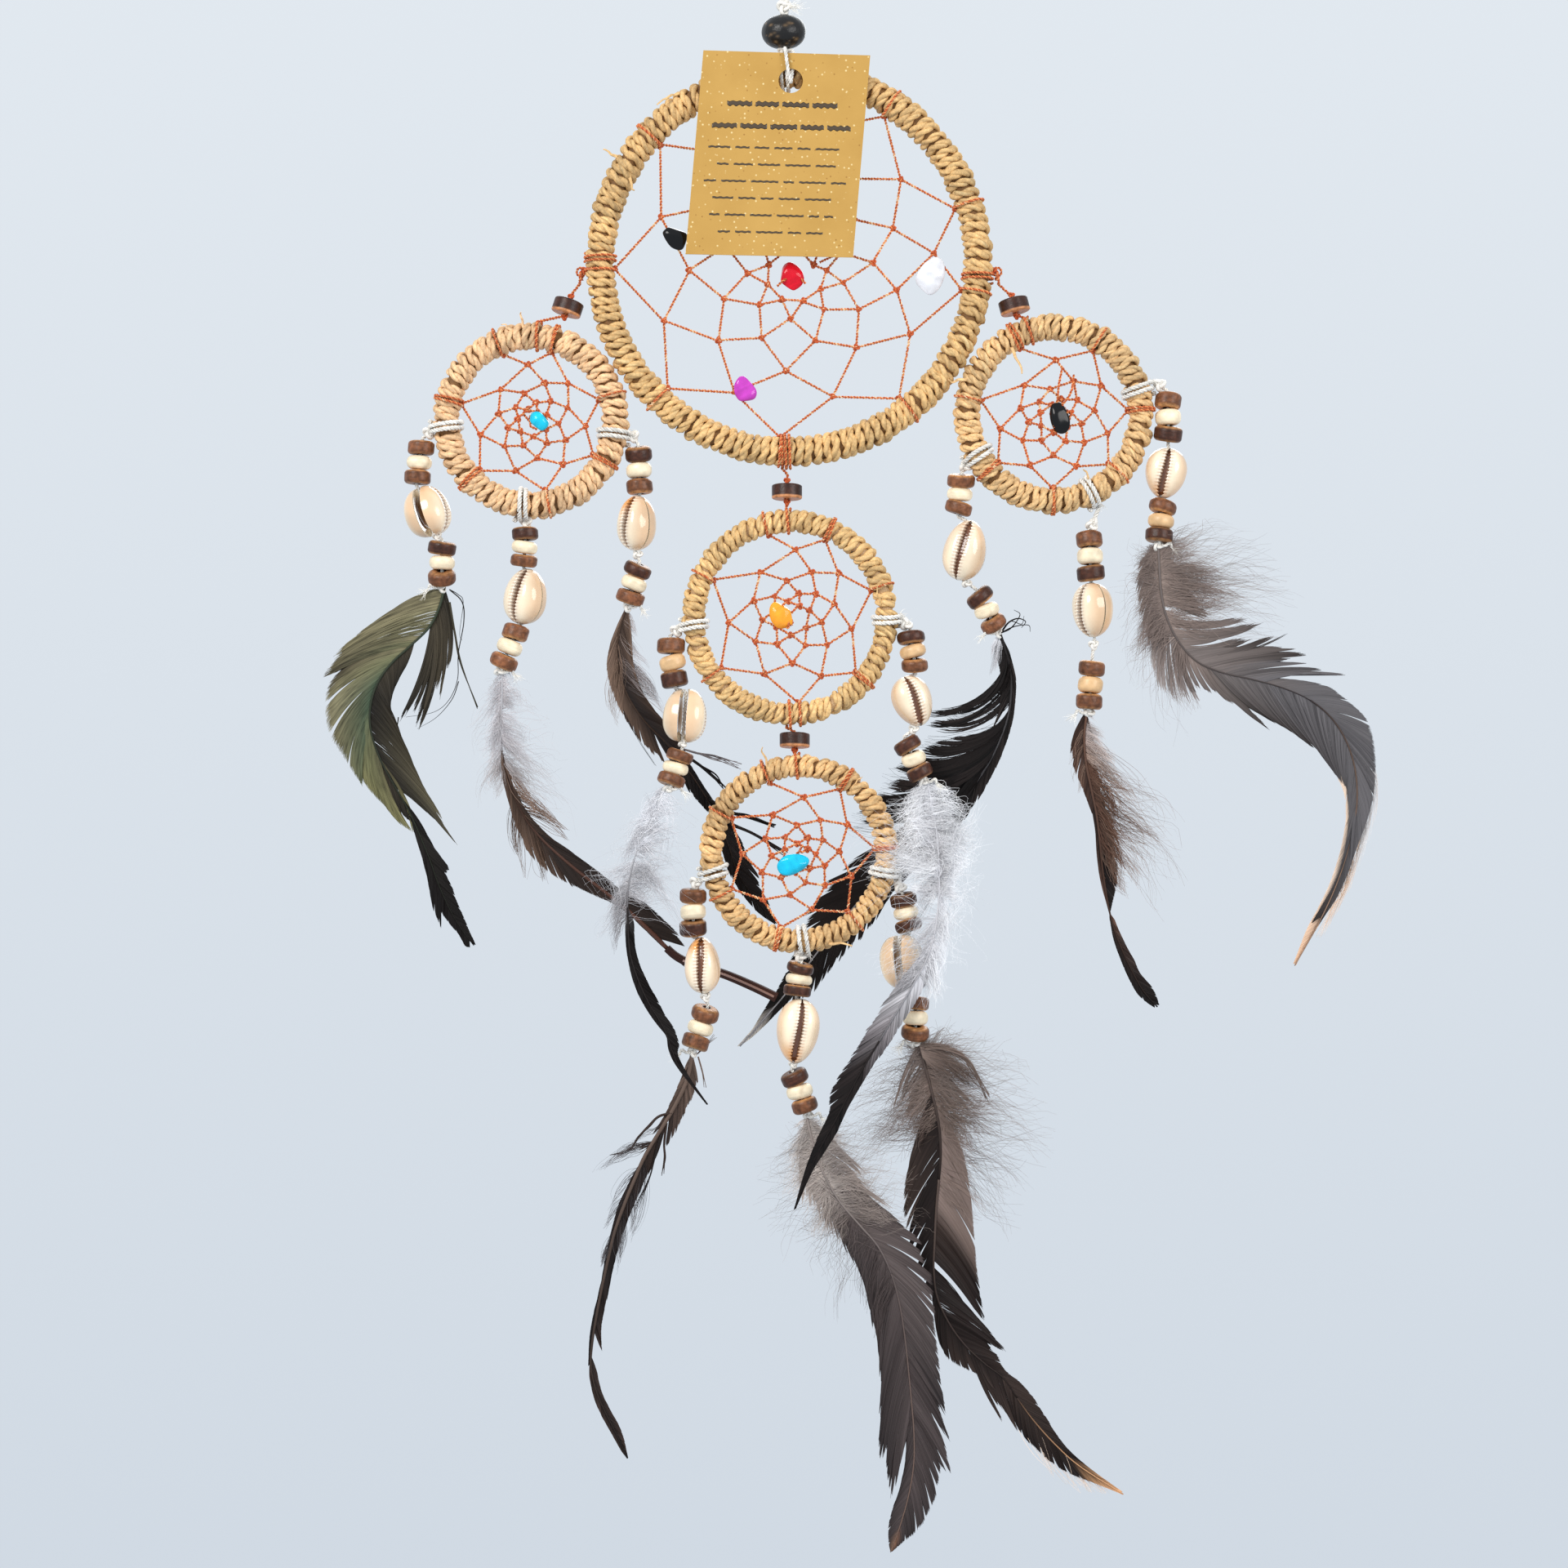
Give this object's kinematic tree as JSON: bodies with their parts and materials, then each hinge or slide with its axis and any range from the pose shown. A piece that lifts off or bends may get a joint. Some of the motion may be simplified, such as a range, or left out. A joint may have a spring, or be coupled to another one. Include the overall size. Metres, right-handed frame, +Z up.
{
  "type": "dream catcher",
  "caption": "Hanging dream catcher: grass-wrapped hoops with knotted twine webs and stone chips, joined by beaded links, with strands of discs and shells that end in feathers.",
  "frame": {"origin": "where the top loop rests on its nail: the inside of the loop's top, in the hoops' plane", "axes": "+Z is up and the hoops hang below the origin along -Z, +X is the viewer's right, and the front faces -Y"},
  "size_m": [0.4044, 0.0432, 0.6578],
  "materials": {
    "white_nylon": "soft twisted nylon cord",
    "black_seed": "polished, speckled",
    "kraft_card": "matte, flecked",
    "rattan": "bare",
    "seagrass": "twisted dry grass cord",
    "copper_twine": "twisted twine",
    "mixed_stone": "tumbled and polished",
    "turquoise_stone": "tumbled and polished",
    "black_stone": "tumbled and polished",
    "amber_stone": "tumbled and polished",
    "bead_and_shell": "coconut and bone discs with cut cowrie shells",
    "olive_feather": "soft vane on a shaft",
    "brown_feather": "soft vane on a shaft",
    "black_feather": "soft vane on a shaft",
    "grey_feather": "soft vane on a shaft",
    "down_feather": "soft vane on a shaft",
    "dark_grey_feather": "soft vane on a shaft"
  },
  "bodies": {
    "loop": {"hanging_cord": "white_nylon"},
    "top_bead": {"seed_bead": "black_seed"},
    "tag": {"tag_card": "kraft_card"},
    "main_hoop": {"main_core": "rattan", "main_wrap": "seagrass", "main_web": "copper_twine", "main_stones": "mixed_stone"},
    "left_hoop": {"left_core": "rattan", "left_wrap": "seagrass", "left_web": "copper_twine", "left_stone": "turquoise_stone", "left_link": "copper_twine"},
    "right_hoop": {"right_core": "rattan", "right_wrap": "seagrass", "right_web": "copper_twine", "right_stone": "black_stone", "right_link": "copper_twine"},
    "middle_hoop": {"middle_core": "rattan", "middle_wrap": "seagrass", "middle_web": "copper_twine", "middle_stone": "amber_stone", "middle_link": "copper_twine"},
    "bottom_hoop": {"bottom_core": "rattan", "bottom_wrap": "seagrass", "bottom_web": "copper_twine", "bottom_stone": "turquoise_stone", "bottom_link": "copper_twine"},
    "left_outer_strand": {"left_outer_beads": "bead_and_shell", "left_outer_thread": "white_nylon"},
    "left_outer_plume": {"left_outer_feather": "olive_feather"},
    "left_bottom_strand": {"left_bottom_beads": "bead_and_shell", "left_bottom_thread": "white_nylon"},
    "left_bottom_plume": {"left_bottom_feather": "brown_feather"},
    "left_inner_strand": {"left_inner_beads": "bead_and_shell", "left_inner_thread": "white_nylon"},
    "left_inner_plume": {"left_inner_feather": "brown_feather"},
    "right_inner_strand": {"right_inner_beads": "bead_and_shell", "right_inner_thread": "white_nylon"},
    "right_inner_plume": {"right_inner_feather": "black_feather"},
    "right_bottom_strand": {"right_bottom_beads": "bead_and_shell", "right_bottom_thread": "white_nylon"},
    "right_bottom_plume": {"right_bottom_feather": "brown_feather"},
    "right_outer_strand": {"right_outer_beads": "bead_and_shell", "right_outer_thread": "white_nylon"},
    "right_outer_plume": {"right_outer_feather": "grey_feather"},
    "middle_left_strand": {"middle_left_beads": "bead_and_shell", "middle_left_thread": "white_nylon"},
    "middle_left_plume": {"middle_left_feather": "black_feather"},
    "middle_right_strand": {"middle_right_beads": "bead_and_shell", "middle_right_thread": "white_nylon"},
    "middle_right_plume": {"middle_right_feather": "down_feather"},
    "bottom_left_strand": {"bottom_left_beads": "bead_and_shell", "bottom_left_thread": "white_nylon"},
    "bottom_left_plume": {"bottom_left_feather": "brown_feather"},
    "bottom_center_strand": {"bottom_center_beads": "bead_and_shell", "bottom_center_thread": "white_nylon"},
    "bottom_center_plume": {"bottom_center_feather": "dark_grey_feather"},
    "bottom_right_strand": {"bottom_right_beads": "bead_and_shell", "bottom_right_thread": "white_nylon"},
    "bottom_right_plume": {"bottom_right_feather": "brown_feather"}
  },
  "joints": [
    {"name": "twirl", "type": "hinge", "parent": "loop", "child": "top_bead", "pos_m": [0, 0, -0.0605], "axis": [0, 0, 1], "range_deg": [-90, 90], "deforming": ["hanging_cord"]},
    {"name": "main_swing", "type": "hinge", "parent": "loop", "child": "main_hoop", "pos_m": [0, 0, -0.068], "axis": [1, 0, 0], "range_deg": [-15, 15], "deforming": ["hanging_cord"]},
    {"name": "tag_swing", "type": "hinge", "parent": "main_hoop", "child": "tag", "pos_m": [0.001, -0.0045, -0.068], "axis": [1, 0, 0], "range_deg": [-35, 0], "deforming": ["hanging_cord"]},
    {"name": "left_hoop_swing", "type": "hinge", "parent": "main_hoop", "child": "left_hoop", "pos_m": [-0.0795, 0, -0.157], "axis": [1, 0, 0], "range_deg": [0, 20]},
    {"name": "right_hoop_swing", "type": "hinge", "parent": "main_hoop", "child": "right_hoop", "pos_m": [0.0835, 0, -0.157], "axis": [1, 0, 0], "range_deg": [0, 20]},
    {"name": "middle_hoop_swing", "type": "hinge", "parent": "main_hoop", "child": "middle_hoop", "pos_m": [0.002, 0, -0.225], "axis": [1, 0, 0], "range_deg": [-20, 0]},
    {"name": "bottom_hoop_swing", "type": "hinge", "parent": "middle_hoop", "child": "bottom_hoop", "pos_m": [0.0024, 0, -0.3278], "axis": [1, 0, 0], "range_deg": [0, 6]},
    {"name": "left_outer_swing", "type": "hinge", "parent": "left_hoop", "child": "left_outer_strand", "pos_m": [-0.139, 0, -0.2175], "axis": [1, 0, 0], "range_deg": [-25, 25], "deforming": ["left_outer_thread"]},
    {"name": "left_outer_plume_swing", "type": "hinge", "parent": "left_outer_strand", "child": "left_outer_plume", "pos_m": [-0.133, 0, -0.279], "axis": [1, 0, 0], "range_deg": [-20, 20]},
    {"name": "left_bottom_swing", "type": "hinge", "parent": "left_hoop", "child": "left_bottom_strand", "pos_m": [-0.101, 0, -0.2526], "axis": [1, 0, 0], "range_deg": [0, 25], "deforming": ["left_bottom_thread"]},
    {"name": "left_bottom_plume_swing", "type": "hinge", "parent": "left_bottom_strand", "child": "left_bottom_plume", "pos_m": [-0.1114, 0, -0.3126], "axis": [1, 0, 0], "range_deg": [0, 15]},
    {"name": "left_inner_swing", "type": "hinge", "parent": "left_hoop", "child": "left_inner_strand", "pos_m": [-0.0592, 0, -0.219], "axis": [1, 0, 0], "range_deg": [0, 25], "deforming": ["left_inner_thread"]},
    {"name": "left_inner_plume_swing", "type": "hinge", "parent": "left_inner_strand", "child": "left_inner_plume", "pos_m": [-0.061, 0, -0.2874], "axis": [1, 0, 0], "range_deg": [0, 15]},
    {"name": "right_inner_swing", "type": "hinge", "parent": "right_hoop", "child": "right_inner_strand", "pos_m": [0.0712, 0, -0.2306], "axis": [1, 0, 0], "range_deg": [0, 25], "deforming": ["right_inner_thread"]},
    {"name": "right_inner_plume_swing", "type": "hinge", "parent": "right_inner_strand", "child": "right_inner_plume", "pos_m": [0.0844, 0, -0.2976], "axis": [1, 0, 0], "range_deg": [0, 15]},
    {"name": "right_bottom_swing", "type": "hinge", "parent": "right_hoop", "child": "right_bottom_strand", "pos_m": [0.1208, 0, -0.2536], "axis": [1, 0, 0], "range_deg": [-25, 25], "deforming": ["right_bottom_thread"]},
    {"name": "right_bottom_plume_swing", "type": "hinge", "parent": "right_bottom_strand", "child": "right_bottom_plume", "pos_m": [0.119, 0, -0.3286], "axis": [1, 0, 0], "range_deg": [-20, 20]},
    {"name": "right_outer_swing", "type": "hinge", "parent": "right_hoop", "child": "right_outer_strand", "pos_m": [0.1472, 0, -0.1988], "axis": [1, 0, 0], "range_deg": [-25, 25], "deforming": ["right_outer_thread"]},
    {"name": "right_outer_plume_swing", "type": "hinge", "parent": "right_outer_strand", "child": "right_outer_plume", "pos_m": [0.1466, 0, -0.2634], "axis": [1, 0, 0], "range_deg": [-20, 20]},
    {"name": "middle_left_swing", "type": "hinge", "parent": "middle_hoop", "child": "middle_left_strand", "pos_m": [-0.042, 0, -0.295], "axis": [1, 0, 0], "range_deg": [-25, 0], "deforming": ["middle_left_thread"]},
    {"name": "middle_left_plume_swing", "type": "hinge", "parent": "middle_left_strand", "child": "middle_left_plume", "pos_m": [-0.0456, 0, -0.3592], "axis": [1, 0, 0], "range_deg": [-15, 0]},
    {"name": "middle_right_swing", "type": "hinge", "parent": "middle_hoop", "child": "middle_right_strand", "pos_m": [0.0478, 0, -0.2926], "axis": [1, 0, 0], "range_deg": [-25, 0], "deforming": ["middle_right_thread"]},
    {"name": "middle_right_plume_swing", "type": "hinge", "parent": "middle_right_strand", "child": "middle_right_plume", "pos_m": [0.0556, 0, -0.3564], "axis": [1, 0, 0], "range_deg": [-15, 0]},
    {"name": "bottom_left_swing", "type": "hinge", "parent": "bottom_hoop", "child": "bottom_left_strand", "pos_m": [-0.0346, 0, -0.394], "axis": [1, 0, 0], "range_deg": [0, 15], "deforming": ["bottom_left_thread"]},
    {"name": "bottom_left_plume_swing", "type": "hinge", "parent": "bottom_left_strand", "child": "bottom_left_plume", "pos_m": [-0.0356, 0, -0.462], "axis": [1, 0, 0], "range_deg": [0, 15]},
    {"name": "bottom_center_swing", "type": "hinge", "parent": "bottom_hoop", "child": "bottom_center_strand", "pos_m": [0.0064, 0, -0.4226], "axis": [1, 0, 0], "range_deg": [0, 15], "deforming": ["bottom_center_thread"]},
    {"name": "bottom_center_plume_swing", "type": "hinge", "parent": "bottom_center_strand", "child": "bottom_center_plume", "pos_m": [0.0096, 0, -0.487], "axis": [1, 0, 0], "range_deg": [-8, 0]},
    {"name": "bottom_right_swing", "type": "hinge", "parent": "bottom_hoop", "child": "bottom_right_strand", "pos_m": [0.0454, 0, -0.3956], "axis": [1, 0, 0], "range_deg": [0, 15], "deforming": ["bottom_right_thread"]},
    {"name": "bottom_right_plume_swing", "type": "hinge", "parent": "bottom_right_strand", "child": "bottom_right_plume", "pos_m": [0.0518, 0, -0.4582], "axis": [1, 0, 0], "range_deg": [0, 15]}
  ]
}
